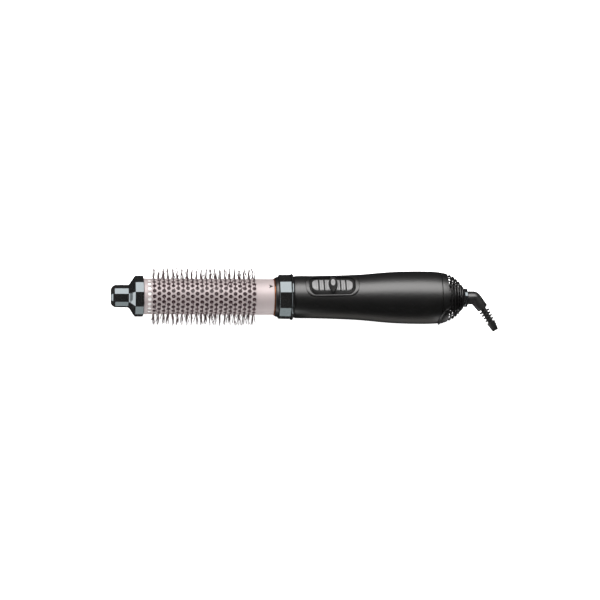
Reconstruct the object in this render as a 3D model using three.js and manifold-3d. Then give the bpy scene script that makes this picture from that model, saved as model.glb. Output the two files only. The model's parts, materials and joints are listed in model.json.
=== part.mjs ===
// Hot air brush: warm air blows out through a perforated barrel ringed with nylon bristles.
// Units are millimetres. The long axis is X: the flat nose of the cool tip is at the origin,
// the cord leaves at the far +X end, and the switch faces +Z.
import * as THREE from "three";
import { mergeVertices } from "three/addons/utils/BufferGeometryUtils.js";
import Module from "manifold-3d";

const wasm = await Module();
wasm.setup();

// ---- driving dimensions ----
const GAP = 0.3; // between neighbouring pieces
const TURNED_SIDES = 24; // sides of a turned piece that shows
const INSIDE_SIDES = 16; // sides of a turned piece inside the handle
const SMALL_SIDES = 12; // sides of a screw, shaft or lead
const FAR = 60; // sideways, beyond the outside of everything, for cutting blocks
const PAST_END = 400; // along X, beyond the cord end, for cutting blocks

const NARROW_FACET = 31; // degrees; narrow and wide facets alternate round the tip and collar
const WIDE_FACET = 41;
const FACET_COUNT = 10;
const FACET_TURN = -8.5; // degrees; the narrow facet nearest the switch sits a little towards -Y

const NOSE_R = 10.2;
const NOSE_END = 15.6;
const TIP_RING_START = 21.0;
const TIP_RING_END = 28.3;
const TIP_RING_R = 18.3;

const BARREL_R = 15.9;
const BARREL_WALL = 0.8;
const BARREL_START = TIP_RING_END + GAP;
const BARREL_END = 143.2;
const BARREL_SIDES = 20;
const HOLE_R = 1.6;
const HOLE_SIDES = 4;

const STRIP_COUNT = 10;
const BRISTLES_PER_STRIP = 11;
const BRISTLE_FIRST = 41.7;
const BRISTLE_PITCH = 8.36;
const BRISTLE_WIDTH = 0.9;
const BRISTLE_TIP_R = 25.8;
const RAIL_START = 38.6;
const RAIL_END = 128.2;
const RAIL_R = 14.1;

const COLLAR_START = 144.4;
const COLLAR_FACET_START = 147.5;
const COLLAR_FACET_END = 158.0;
const COLLAR_LIP_END = 160.4;
const COLLAR_R = 19.7;
const COLLAR_BORE = 17.0;

const SOCKET_BORE = 13.2;
const SPIGOT_R = 12.8;
const SLEEVE_R = 11.5;
const HEATER_START = 150;
const HEATER_END = 228;

const HANDLE_START = 160.9;
const HANDLE_END = 291.4;
const HANDLE_WALL = 2.0;
// [station along X, outer radius] of the handle's gently swelling barrel shape
const HANDLE_OUTLINE = [
  [HANDLE_START, 18.2], [162.2, 18.65], [178, 18.8], [196, 19.2], [216, 20.0], [227, 20.8],
  [238, 21.85], [250, 22.75], [262, 23.2], [274, 23.35], [284, 23.2], [HANDLE_END, 22.7],
];

const SCREW_X = 234;
const SCREW_Y = 15;
const SCREW_HEAD_Z = -10.6; // the heads face down and sit deep in their counterbores
const SCREW_HEAD_R = 2.5;
const SCREW_SHANK_R = 1.2;
const BOSS_R = 4;

const SWITCH_X = 194.2; // middle of the switch
const BEZEL_HALF = [23.7, 10.8];
const BEZEL_CORNER = 8;
const POCKET_HALF = [20.2, 9.3];
const POCKET_CORNER = 6;
const SLIDER_HALF = [17.8, 5.6];
const TRAY_BOTTOM = 15.0;
const POCKET_FLOOR = 16.6;
const SLIDER_TOP = 19.4;
const RIDGE_X = SWITCH_X + 0.5; // the ridge stands just behind the middle
const RIDGE_HALF = [3.95, 8.7];
const RIDGE_TOP = 21.5;

const FAN_START = 240;
const FAN_LENGTH = 9;
const FAN_R = 16.8;
const BLADE_COUNT = 7;
const BLADE_PITCH = 35; // degrees
const MOTOR_START = 252;
const MOTOR_END = 282;
const MOTOR_R = 12;
const SHAFT_R = 1.0;
const SHROUD_R = 18.0;

const GRILLE_START = HANDLE_END + 0.4;
const GRILLE_END = 312.8;
const GRILLE_SLOTS = 12;
const TONGUE_START = 289.0;
const TONGUE_HALF = 13.0;
const TONGUE_ANGLES = [106, -106]; // degrees from +Z to the middle of each grip tongue

const ELBOW_START = 313.2;
const ELBOW_PIPE_R = 5.9;
const ELBOW_BEND_START = 322.0;
const ELBOW_BEND_R = 2.5;
const ELBOW_ANGLE = 51; // degrees between the handle's axis and the leg
const STRAIN_ANGLE = 59.5; // degrees between the handle's axis and the finned strain relief
const ELBOW_ROLL = 54; // degrees the leg is turned from straight down towards -Y
const LEG_LENGTH = 10.8;
const STRAIN_LENGTH = 22.4;
const CORD_BORE = 1.9;
const BEND_STEPS = 4;

const degrees = THREE.MathUtils.degToRad;

// ---- making and joining solids ----

// A closed solid from any three.js geometry: shared vertices merged, empty triangles dropped.
function solid(geometry) {
  const bare = new THREE.BufferGeometry();
  bare.setAttribute("position", geometry.getAttribute("position"));
  bare.setIndex(geometry.getIndex());
  const merged = mergeVertices(bare, 1e-4);
  const index = merged.getIndex().array;
  const triangles = [];
  for (let i = 0; i < index.length; i += 3) {
    const [a, b, c] = index.slice(i, i + 3);
    if (a !== b && b !== c && c !== a) triangles.push(a, b, c);
  }
  return new wasm.Manifold(new wasm.Mesh({
    numProp: 3,
    vertProperties: new Float32Array(merged.getAttribute("position").array),
    triVerts: new Uint32Array(triangles),
  }));
}

const join = (pieces) => pieces.reduce((whole, piece) => whole.add(piece));
const cut = (piece, tools) => tools.reduce((whole, tool) => whole.subtract(tool), piece);

// A profile of [station, radius] pairs turned about X, with a flat facing +Z.
// A profile that doesn't start on the axis is a ring and closes on itself.
function turn(profile, sides = TURNED_SIDES) {
  const geometry = latheAlongX(profile, sides);
  geometry.rotateX(Math.PI / sides);
  return solid(geometry);
}

function latheAlongX(profile, sides) {
  const isRing = profile[0][1] > 0;
  const outline = isRing ? [...profile, profile[0]] : profile;
  const points = outline.map(([x, r]) => new THREE.Vector2(r, x));
  return new THREE.LatheGeometry(points, sides).rotateZ(-Math.PI / 2);
}

const tube = (start, end, inner, outer, sides = TURNED_SIDES) =>
  turn([[start, inner], [start, outer], [end, outer], [end, inner]], sides);
const insideTube = (start, end, inner, outer) => tube(start, end, inner, outer, INSIDE_SIDES);

// The same, but ten-sided, with the narrow and wide facets in their places.
function faceted(profile) {
  const geometry = latheAlongX(profile, FACET_COUNT);
  const position = geometry.getAttribute("position");
  const step = (2 * Math.PI) / FACET_COUNT;
  for (let i = 0; i < position.count; i += 1) {
    const radius = Math.hypot(position.getY(i), position.getZ(i));
    const turnAngle = Math.atan2(position.getY(i), position.getZ(i));
    const corner = (Math.round(turnAngle / step) + FACET_COUNT) % FACET_COUNT;
    const wides = corner - Math.floor(corner / 2);
    const narrows = corner - wides + 0.5;
    const angle = degrees(FACET_TURN + narrows * NARROW_FACET + wides * WIDE_FACET);
    position.setXYZ(i, position.getX(i), radius * Math.sin(angle), radius * Math.cos(angle));
  }
  return solid(geometry);
}

function block(x0, x1, y0, y1, z0, z1) {
  const geometry = new THREE.BoxGeometry(x1 - x0, y1 - y0, z1 - z0);
  geometry.translate((x0 + x1) / 2, (y0 + y1) / 2, (z0 + z1) / 2);
  return solid(geometry);
}

// A slab with rounded corners, flat in XY, between two heights.
function roundedSlab(centreX, [halfX, halfY], corner, z0, z1) {
  const shape = new THREE.Shape();
  const [x, y] = [halfX - corner, halfY - corner];
  shape.absarc(x, y, corner, 0, Math.PI / 2);
  shape.absarc(-x, y, corner, Math.PI / 2, Math.PI);
  shape.absarc(-x, -y, corner, Math.PI, 1.5 * Math.PI);
  shape.absarc(x, -y, corner, 1.5 * Math.PI, 2 * Math.PI);
  shape.closePath();
  return extruded(shape, z1 - z0, 4).translate([centreX, 0, z0]);
}

function extruded(shape, depth, curveSegments) {
  return solid(new THREE.ExtrudeGeometry(shape, { depth, bevelEnabled: false, curveSegments }));
}

// A round rod swept along a curve.
function swept(curve, radius, steps, sides) {
  const section = new THREE.Shape();
  section.setFromPoints(Array.from({ length: sides }, (_, i) => new THREE.Vector2(
    radius * Math.cos((2 * Math.PI * i) / sides), radius * Math.sin((2 * Math.PI * i) / sides))));
  return solid(new THREE.ExtrudeGeometry(section, { extrudePath: curve, steps, bevelEnabled: false }));
}

const screw = (headR, headLength, shankR, length) =>
  turn([[0, 0], [0, headR], [headLength, headR], [headLength, shankR], [length, shankR], [length, 0]],
    SMALL_SIDES);

// ---- looks ----
const look = (color, roughness, metalness = 0) =>
  new THREE.MeshStandardMaterial({ color, roughness, metalness });
const LOOKS = {
  glossBlack: look(0x0b0b0c, 0.12),
  softBlack: look(0x161617, 0.62),
  champagne: look(0xc9b8b2, 0.34, 0.9),
  nylon: look(0x50423f, 0.5),
  copper: look(0xc7693a, 0.3, 0.8),
  greyPlastic: look(0x8f9194, 0.5),
  insidePlastic: look(0x2b2c2e, 0.6),
  mica: look(0xb9a98a, 0.7),
  wire: look(0x9a9a98, 0.35, 0.9),
  steel: look(0xa5a8ab, 0.3, 1),
  board: look(0x2d5a3a, 0.6),
  whitePlastic: look(0xe4e2dc, 0.45),
  rubber: look(0x1b1b1c, 0.8),
  redLead: look(0x9c2420, 0.5),
  mesh: look(0x6c6f72, 0.6, 0.5),
};

const brush = new THREE.Group();
function add(name, body, material) {
  const mesh = body.getMesh();
  const geometry = new THREE.BufferGeometry();
  geometry.setAttribute("position", new THREE.BufferAttribute(mesh.vertProperties, 3));
  geometry.setIndex(new THREE.BufferAttribute(mesh.triVerts, 1));
  geometry.computeVertexNormals();
  const piece = new THREE.Mesh(geometry, material);
  piece.name = name;
  brush.add(piece);
}

// ---- brush head ----

// Hollow ten-sided cap with a screw boss inside.
function coolTip() {
  const wallR = NOSE_R - 2;
  const ringBore = TIP_RING_R - 4.2;
  const boss = { r: 4, bore: 1.7, end: 21.4, bottom: 10 };
  return faceted([
    [0, 0], [0, 7.2], [1.2, 9.2], [3.6, NOSE_R], [NOSE_END - 1, NOSE_R], [NOSE_END + 0.6, NOSE_R + 0.8],
    [TIP_RING_START - 0.5, TIP_RING_R - 0.7], [TIP_RING_START, TIP_RING_R], [TIP_RING_END, TIP_RING_R],
    [TIP_RING_END, ringBore], [22, ringBore], [17.5, wallR], [6, wallR], [6, boss.r],
    [boss.end, boss.r], [boss.end, boss.bore], [boss.bottom, boss.bore], [boss.bottom, 0],
  ]);
}

// Closes the barrel's front end, centres the cool tip and holds the ends of the bristle strips.
function barrelEndPlug() {
  const bore = 1.9;
  const seatR = 12.6;
  const rimR = BARREL_R - BARREL_WALL - 0.6;
  return turn([
    [22.5, bore], [22.5, seatR], [TIP_RING_END + GAP, seatR], [TIP_RING_END + GAP, rimR],
    [RAIL_START - GAP, rimR], [RAIL_START - GAP, seatR], [30, seatR], [30, bore],
  ]);
}

function tipScrew() {
  return screw(3.2, 2.1, 1.3, 19.5).rotate([0, 0, 180]).translate([32.4, 0, 0]);
}

const stripAngles = Array.from({ length: STRIP_COUNT }, (_, i) => ((i + 0.5) * 360) / STRIP_COUNT);
const bristleStations = Array.from({ length: BRISTLES_PER_STRIP },
  (_, i) => BRISTLE_FIRST + i * BRISTLE_PITCH);

// Thin metal tube with one hole for each bristle. Air leaves through the same holes.
function barrel() {
  const wall = tube(BARREL_START, BARREL_END, BARREL_R - BARREL_WALL, BARREL_R, BARREL_SIDES);
  const row = join(bristleStations.map((x) => {
    const punch = new THREE.CylinderGeometry(HOLE_R, HOLE_R, 4, HOLE_SIDES).rotateX(Math.PI / 2);
    return solid(punch.translate(x, 0, BARREL_R));
  }));
  return cut(wall, stripAngles.map((angle) => row.rotate([angle, 0, 0])));
}

// A rail inside the barrel that carries one line of bristles out through the holes.
function bristleStrip() {
  const railHalf = 1.1;
  const half = BRISTLE_WIDTH / 2;
  const rail = block(RAIL_START, RAIL_END, -railHalf, railHalf, RAIL_R - 1.2, RAIL_R);
  return join([rail, ...bristleStations.map(
    (x) => block(x - half, x + half, -half, half, RAIL_R - 0.4, BRISTLE_TIP_R))]);
}

// The head's own sleeve, which slides over the handle's spigot inside the lock collar.
function headSocket() {
  const insideR = BARREL_R - BARREL_WALL - 0.6;
  const outsideR = 15.2;
  return turn([
    [RAIL_END + GAP, SOCKET_BORE], [RAIL_END + GAP, insideR], [COLLAR_START, insideR],
    [COLLAR_START, outsideR], [157.2, outsideR], [157.2, SOCKET_BORE],
  ]);
}

add("cool_tip", coolTip(), LOOKS.glossBlack);
add("barrel_end_plug", barrelEndPlug(), LOOKS.whitePlastic);
add("tip_screw", tipScrew(), LOOKS.steel);
add("barrel", barrel(), LOOKS.champagne);
const strip = bristleStrip();
stripAngles.forEach((angle, i) => {
  add(`bristle_strip_${String(i + 1).padStart(2, "0")}`, strip.rotate([angle, 0, 0]), LOOKS.nylon);
});
add("head_socket", headSocket(), LOOKS.insidePlastic);
add("seal_ring", tube(BARREL_END + GAP, BARREL_END + 0.9, 14.8, 16.3), LOOKS.copper);

// ---- lock collar ----
const rimBore = 15.8;
add("collar_rim", turn([
  [COLLAR_START, rimBore], [COLLAR_START, 16.9], [COLLAR_FACET_START - GAP, 17.8],
  [COLLAR_FACET_START - GAP, rimBore],
]), LOOKS.glossBlack);
add("lock_collar", faceted([
  [COLLAR_FACET_START, COLLAR_BORE], [COLLAR_FACET_START, COLLAR_R - 0.6],
  [COLLAR_FACET_START + 0.5, COLLAR_R], [COLLAR_FACET_END, COLLAR_R + 0.25],
  [COLLAR_FACET_END, COLLAR_BORE],
]), LOOKS.glossBlack);
add("collar_lip", turn([
  [COLLAR_FACET_END + GAP, COLLAR_BORE], [COLLAR_FACET_END + GAP, 19.9], [159.0, 20.4],
  [159.8, 20.4], [COLLAR_LIP_END, 19.8], [COLLAR_LIP_END, COLLAR_BORE],
]), LOOKS.glossBlack);

// ---- handle casing ----
const handleBody = turn([[HANDLE_START, 0], ...HANDLE_OUTLINE, [HANDLE_END, 0]]);

// Blocks that stand out from the axis on each side, at the grip tongues of the inlet cap.
const tongueBlocks = (start, half) => TONGUE_ANGLES.map(
  (angle) => block(start, PAST_END, -half, half, 0, FAR).rotate([-angle, 0, 0]));

// Two half shells, parted level with the axis, with a screw boss on each side.
function handleShells() {
  const everyOther = HANDLE_OUTLINE.filter((_, i) => i % 2 === 1);
  const inner = [HANDLE_OUTLINE[0], ...everyOther].map(([x, r]) => [x, r - HANDLE_WALL]).reverse();
  const shell = turn([...HANDLE_OUTLINE, ...inner]);
  const upright = (radius, length) =>
    solid(new THREE.CylinderGeometry(radius, radius, length, SMALL_SIDES).rotateX(Math.PI / 2));
  const atScrews = (body, z) => [1, -1].map(
    (side) => body.translate([SCREW_X, side * SCREW_Y, z]));
  const bosses = atScrews(upright(BOSS_R, 24), 0).map((post) => post.intersect(handleBody));
  const bores = atScrews(upright(SCREW_SHANK_R + 0.4, 20), -2);
  const counterbores = atScrews(upright(SCREW_HEAD_R + 0.4, 20), SCREW_HEAD_Z - 8.4);
  const whole = cut(join([shell, ...bosses]), [
    ...bores, ...counterbores, ...tongueBlocks(TONGUE_START - GAP, TONGUE_HALF + GAP),
  ]);
  const opening = roundedSlab(SWITCH_X, BEZEL_HALF.map((half) => half + GAP), BEZEL_CORNER, 0, FAR);
  return {
    upper: whole.intersect(block(0, PAST_END, -FAR, FAR, GAP / 2, FAR)).subtract(opening),
    lower: whole.intersect(block(0, PAST_END, -FAR, FAR, -FAR, -GAP / 2)),
  };
}

const shells = handleShells();
add("handle_upper_shell", shells.upper, LOOKS.softBlack);
add("handle_lower_shell", shells.lower, LOOKS.softBlack);
[1, -1].forEach((side, i) => {
  const body = screw(SCREW_HEAD_R, 1.5, SCREW_SHANK_R, 17).rotate([0, -90, 0]);
  add(`handle_screw_${i + 1}`, body.translate([SCREW_X, side * SCREW_Y, SCREW_HEAD_Z]), LOOKS.steel);
});

// The handle's front end: a tube that the head slides onto and a flange that the collar turns on.
add("outlet_spigot", turn([
  [136, SPIGOT_R - 0.9], [136, SPIGOT_R], [158.6, SPIGOT_R], [158.6, 16.5], [160.6, 16.5],
  [160.6, 15.6], [168, 15.6], [168, SPIGOT_R - 0.9],
]), LOOKS.insidePlastic);

// ---- heater ----
class Helix extends THREE.Curve {
  constructor(start, end, radius, turns) {
    super();
    Object.assign(this, { start, end, radius, turns });
  }

  getPoint(t, target = new THREE.Vector3()) {
    const angle = 2 * Math.PI * this.turns * t;
    return target.set(this.start + t * (this.end - this.start),
      this.radius * Math.cos(angle), this.radius * Math.sin(angle));
  }
}

function heaterEndPlate() {
  const plate = insideTube(226.4, 227.2, 1.2, SLEEVE_R - 0.9);
  const airHole = solid(new THREE.CylinderGeometry(2.9, 2.9, 4, 6).rotateZ(Math.PI / 2));
  return cut(plate, [45, 135, 225, 315].map(
    (angle) => airHole.translate([226.8, 0, 6]).rotate([angle, 0, 0])));
}

// Two crossed mica strips that hold the coil off the sleeve.
function heaterFrame() {
  const [start, end] = [HEATER_START + 4, HEATER_END - 2];
  const [thin, wide] = [0.4, 7.5];
  return join([
    block(start, end, -wide, wide, -thin, thin),
    block(start, end, -thin, thin, -wide, wide),
  ]);
}

add("heater_sleeve", insideTube(HEATER_START, HEATER_END, SLEEVE_R - 0.5, SLEEVE_R), LOOKS.mica);
add("heater_frame", heaterFrame(), LOOKS.mica);
add("heater_coil", swept(new Helix(158, 223, 8.8, 6), 0.4, 48, 4), LOOKS.wire);
add("heater_end_plate", heaterEndPlate(), LOOKS.mica);
add("thermostat", turn([[228.4, 0], [228.4, 3.4], [230, 3.8], [232, 3.8], [232, 0]], SMALL_SIDES)
  .translate([0, 6, 0]), LOOKS.steel);
add("thermal_fuse", turn([[228.4, 0], [228.4, 1.5], [236.8, 1.5], [236.8, 0]], SMALL_SIDES)
  .translate([0, -6, 0]), LOOKS.steel);

// ---- switch ----
function switchTray() {
  const raised = 0.25;
  const skin = HANDLE_OUTLINE.map(([x, r]) => [x, r + raised]);
  const crown = turn([[HANDLE_START, 0], ...skin, [HANDLE_END, 0]]);
  const blank = roundedSlab(SWITCH_X, BEZEL_HALF, BEZEL_CORNER, TRAY_BOTTOM, FAR).intersect(crown);
  return cut(blank, [
    roundedSlab(SWITCH_X, POCKET_HALF, POCKET_CORNER, POCKET_FLOOR, FAR),
    roundedSlab(SWITCH_X, [4.6, 2.2], 2, TRAY_BOTTOM - 1, FAR),
  ]);
}

// The sliding plate and the post under it that works the electric switch.
function sliderPlate() {
  const post = new THREE.CylinderGeometry(1.6, 1.6, 2.8, SMALL_SIDES).rotateX(Math.PI / 2);
  return join([
    roundedSlab(SWITCH_X, SLIDER_HALF, 3, POCKET_FLOOR + GAP, SLIDER_TOP),
    solid(post).translate([SWITCH_X, 0, POCKET_FLOOR - 0.2]),
  ]);
}

// The eye-shaped thumb ridge across the plate: two arcs that meet at the sides.
function thumbRidge() {
  const [halfX, halfY] = RIDGE_HALF;
  const radius = (halfX * halfX + halfY * halfY) / (2 * halfX);
  const sweep = Math.asin(halfY / radius);
  const shape = new THREE.Shape();
  shape.absarc(halfX - radius, 0, radius, -sweep, sweep);
  shape.absarc(radius - halfX, 0, radius, Math.PI - sweep, Math.PI + sweep);
  shape.closePath();
  return extruded(shape, RIDGE_TOP - SLIDER_TOP - GAP, 6).translate([RIDGE_X, 0, SLIDER_TOP + GAP]);
}

add("switch_bezel", switchTray(), LOOKS.softBlack);
add("switch_slider_plate", sliderPlate(), LOOKS.greyPlastic);
add("switch_thumb_ridge", thumbRidge(), LOOKS.glossBlack);
add("slide_switch", block(SWITCH_X - 7, SWITCH_X + 7, -4.5, 4.5, 12.1, 14.7), LOOKS.insidePlastic);
add("circuit_board", block(204, 236, -8, 8, 13.2, 14.4), LOOKS.board);
add("rectifier", block(222, 231, -4, 4, 14.7, 17.2), LOOKS.insidePlastic);

// ---- motor and fan ----
function fan() {
  const end = FAN_START + FAN_LENGTH;
  const hub = turn([[FAN_START, 1.3], [FAN_START, 5], [FAN_START + 2, 6], [end, 6], [end, 1.3]],
    INSIDE_SIDES);
  const blade = new THREE.BoxGeometry(FAN_LENGTH, 0.9, 11).rotateZ(degrees(BLADE_PITCH));
  const blades = Array.from({ length: BLADE_COUNT }, (_, i) => solid(blade)
    .translate([FAN_START + FAN_LENGTH / 2, 0, FAN_R - 6])
    .rotate([(360 * i) / BLADE_COUNT, 0, 0]));
  return join([hub, ...blades]);
}

// Air shroud round the fan, with four struts that carry the motor's ring.
function motorCradle() {
  const shroud = insideTube(FAN_START - 0.4, MOTOR_END - 2, SHROUD_R - 0.9, SHROUD_R);
  const ring = insideTube(MOTOR_START + 2, MOTOR_END - 2, MOTOR_R + 1.4, MOTOR_R + 2.4);
  const strut = block(MOTOR_START + 3, MOTOR_END - 4, -0.7, 0.7, MOTOR_R + 2, SHROUD_R - 0.4);
  return join([shroud, ring, ...[45, 135, 225, 315].map((angle) => strut.rotate([angle, 0, 0]))]);
}

// An insulated lead from one end to the other, running aft outside the shroud.
function lead(angle, boardY, rearY) {
  const run = (x, r) => new THREE.Vector3(x, r * Math.sin(degrees(angle)), r * Math.cos(degrees(angle)));
  const route = new THREE.CatmullRomCurve3([
    new THREE.Vector3(234, boardY, 15.2), run(238.4, 18.9), run(250, 19.1), run(265, 19.1),
    run(282, 19.1), run(286.6, 15.5), run(288.4, 9), new THREE.Vector3(289.6, rearY, 0.6),
  ]);
  return swept(route, 0.45, 16, 5);
}

add("fan", fan(), LOOKS.whitePlastic);
add("motor_shaft", turn([[238, 0], [238, SHAFT_R], [284, SHAFT_R], [284, 0]], SMALL_SIDES), LOOKS.steel);
add("motor_cradle", motorCradle(), LOOKS.insidePlastic);
add("motor_damper", insideTube(MOTOR_START + 4, MOTOR_END - 6, MOTOR_R + GAP, MOTOR_R + 1.1), LOOKS.rubber);
add("motor_can", insideTube(MOTOR_START, MOTOR_END, 1.4, MOTOR_R), LOOKS.steel);
add("motor_end_cap", insideTube(MOTOR_END + GAP, MOTOR_END + 3.8, 1.4, MOTOR_R - 0.4), LOOKS.whitePlastic);
add("motor_lead_red", lead(-16, -3, -3), LOOKS.redLead);
add("motor_lead_black", lead(16, 3, 3), LOOKS.rubber);

// ---- air inlet ----
const GRILLE_OUTLINE = [
  [GRILLE_START, 22.4], [296, 21.8], [301.2, 20.0], [306.0, 16.9], [310, 12.9], [GRILLE_END, 9.2],
];
const GRILLE_INSIDE = [
  [GRILLE_END, 8.0], [308.4, 12.0], [303.4, 16.6], [295.5, 20.2], [GRILLE_START, 20.8],
];

// Domed inlet cap with through slots, and a grip tongue on each side let into the handle's rim.
function rearGrille() {
  const slot = block(297.5, 309.5, -1.1, 1.1, 9, FAR);
  const slots = Array.from({ length: GRILLE_SLOTS },
    (_, i) => slot.rotate([((i + 0.5) * 360) / GRILLE_SLOTS, 0, 0]));
  const dome = cut(turn([...GRILLE_OUTLINE, ...GRILLE_INSIDE]), slots);
  const gripRing = turn([[TONGUE_START, 21.1], [TONGUE_START, 23.2], [296, 22.6], [296, 21.1]]);
  const tongues = tongueBlocks(0, TONGUE_HALF).map((side) => gripRing.intersect(side));
  return join([dome, ...tongues]);
}

add("rear_grille", rearGrille(), LOOKS.softBlack);
add("dust_filter", insideTube(294.2, 295.0, 5, 19.4), LOOKS.mesh);

// ---- cord swivel ----
// The elbow turns about X. Its leg is worked out pointing down at -Z and then turned to its place.
function cordElbow() {
  const onBend = (angle) => new THREE.Vector3(ELBOW_BEND_START + ELBOW_BEND_R * Math.sin(angle), 0,
    ELBOW_BEND_R * (Math.cos(angle) - 1));
  const step = (from, angle, distance) => from.clone().add(
    new THREE.Vector3(Math.cos(angle), 0, -Math.sin(angle)).multiplyScalar(distance));
  const legAngle = degrees(ELBOW_ANGLE);
  const bend = Array.from({ length: BEND_STEPS + 1 }, (_, i) => onBend((legAngle * i) / BEND_STEPS));
  const legStart = bend[BEND_STEPS];
  const legEnd = step(legStart, legAngle, LEG_LENGTH);
  const mouth = step(legEnd, degrees(STRAIN_ANGLE), STRAIN_LENGTH + 2);
  const at = (body, angle, place) => body.rotate([0, angle, 0]).translate(place.toArray());

  const flange = turn([
    [ELBOW_START, 0], [ELBOW_START, 7.4], [ELBOW_START + 0.8, 8.1], [316.0, 8.1], [316.4, 7.2],
    [316.4, ELBOW_PIPE_R], [ELBOW_BEND_START, ELBOW_PIPE_R], [ELBOW_BEND_START, 0],
  ], INSIDE_SIDES);
  // thin discs along the bend, hulled in pairs into a smooth elbow
  const bendR = (i) => ELBOW_PIPE_R - (0.4 * i) / BEND_STEPS;
  const discs = bend.map((place, i) => at(turn(
    [[-0.05, 0], [-0.05, bendR(i)], [0.05, bendR(i)], [0.05, 0]], INSIDE_SIDES),
  (ELBOW_ANGLE * i) / BEND_STEPS, place));
  const elbow = discs.slice(1).map((disc, i) => wasm.Manifold.hull([discs[i], disc]));
  const leg = turn([
    [-0.05, 0], [-0.05, bendR(BEND_STEPS)], [LEG_LENGTH, 4.9], [LEG_LENGTH, 0],
  ], INSIDE_SIDES);

  const core = 2.5;
  const fins = [0, 1, 2, 3].flatMap((i) => {
    const start = 2.4 + i * 2.8;
    const r = 4.7 - i * 0.22;
    return [[start, core], [start, r], [start + 1.3, r], [start + 1.3, core]];
  });
  const strainRelief = turn([
    [-0.6, 0], [-0.6, core], ...fins, [13.8, core], [13.8, 3.9], [STRAIN_LENGTH, 2.7],
    [STRAIN_LENGTH, 0],
  ], INSIDE_SIDES);

  const route = [new THREE.Vector3(ELBOW_START - 2, 0, 0), ...bend, legEnd, mouth];
  const path = new THREE.CurvePath();
  route.slice(1).forEach((point, i) => path.add(new THREE.LineCurve3(route[i], point)));
  const bore = swept(path, CORD_BORE, route.length, 8);
  return join([
    flange, ...elbow, at(leg, ELBOW_ANGLE, legStart), at(strainRelief, STRAIN_ANGLE, legEnd),
  ]).subtract(bore).rotate([-ELBOW_ROLL, 0, 0]);
}

add("swivel_bush", insideTube(302, 312.6, 6.1, 7.5), LOOKS.whitePlastic);
add("swivel_hub", turn([
  [299, 2.2], [299, 8.0], [301.5, 8.0], [301.5, 5.6], [312.9, 5.6], [312.9, 2.2],
], INSIDE_SIDES), LOOKS.insidePlastic);
add("cord_elbow", cordElbow(), LOOKS.rubber);

export default brush;
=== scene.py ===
"""Looks of the hot air brush: smooth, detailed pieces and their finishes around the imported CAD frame."""
import json
import math
import random

import bmesh
import bpy
from mathutils import Matrix, Vector

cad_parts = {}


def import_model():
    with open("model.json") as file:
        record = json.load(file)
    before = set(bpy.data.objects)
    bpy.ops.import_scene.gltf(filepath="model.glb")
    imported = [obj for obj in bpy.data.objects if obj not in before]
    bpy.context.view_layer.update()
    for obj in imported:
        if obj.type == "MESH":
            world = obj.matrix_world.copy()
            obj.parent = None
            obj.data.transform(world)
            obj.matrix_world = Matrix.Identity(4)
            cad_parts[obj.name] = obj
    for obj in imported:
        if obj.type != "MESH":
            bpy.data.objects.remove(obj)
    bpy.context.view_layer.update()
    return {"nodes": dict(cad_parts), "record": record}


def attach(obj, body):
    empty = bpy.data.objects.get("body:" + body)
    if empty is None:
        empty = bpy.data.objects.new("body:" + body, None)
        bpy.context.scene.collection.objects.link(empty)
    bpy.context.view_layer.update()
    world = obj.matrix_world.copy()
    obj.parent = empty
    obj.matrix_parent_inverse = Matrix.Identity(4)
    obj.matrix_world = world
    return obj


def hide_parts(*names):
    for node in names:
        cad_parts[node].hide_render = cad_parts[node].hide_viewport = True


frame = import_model()

record = frame["record"]
BODY_OF = {node: body for body, nodes in record["behaviour"]["bodies"].items() for node in nodes}
SLOT_OF = {part["node"]: part["material_slot"] for part in record["subparts"]}

MM = 0.001  # this script's own unit is the millimetre; meshes are scaled to metres when they are made
GAP = 0.3

# ---- sizes shared with the CAD frame ----
NOSE_R = 10.15
NOSE_END = 15.6
TIP_RING_START = 21.0
TIP_RING_END = 28.3
TIP_RING_R = 18.3
BARREL_R = 15.9
BARREL_WALL = 0.8
BARREL_START = TIP_RING_END + GAP
BARREL_END = 143.2
COLLAR_START = 144.4
COLLAR_FACET_START = 147.5
COLLAR_FACET_END = 158.0
COLLAR_LIP_END = 160.4
COLLAR_R = 19.7
COLLAR_BORE = 17.0
HANDLE_START = 160.9
HANDLE_END = 291.4
HANDLE_WALL = 2.0
HANDLE_OUTLINE = [
    (HANDLE_START, 18.2), (162.2, 18.65), (178, 18.8), (196, 19.2), (216, 20.0), (227, 20.8),
    (238, 21.85), (250, 22.75), (262, 23.2), (274, 23.35), (284, 23.2), (HANDLE_END, 22.7),
]
SWITCH_X = 194.2
ROUND = 96  # sides of a smooth turned piece
SUPPORT = 0.12  # from a rounded corner to the extra point that keeps its flat side flat
FACET_TURN = math.radians(-8.5)
NARROW_FACET = math.radians(31)
WIDE_FACET = math.radians(41)


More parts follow.
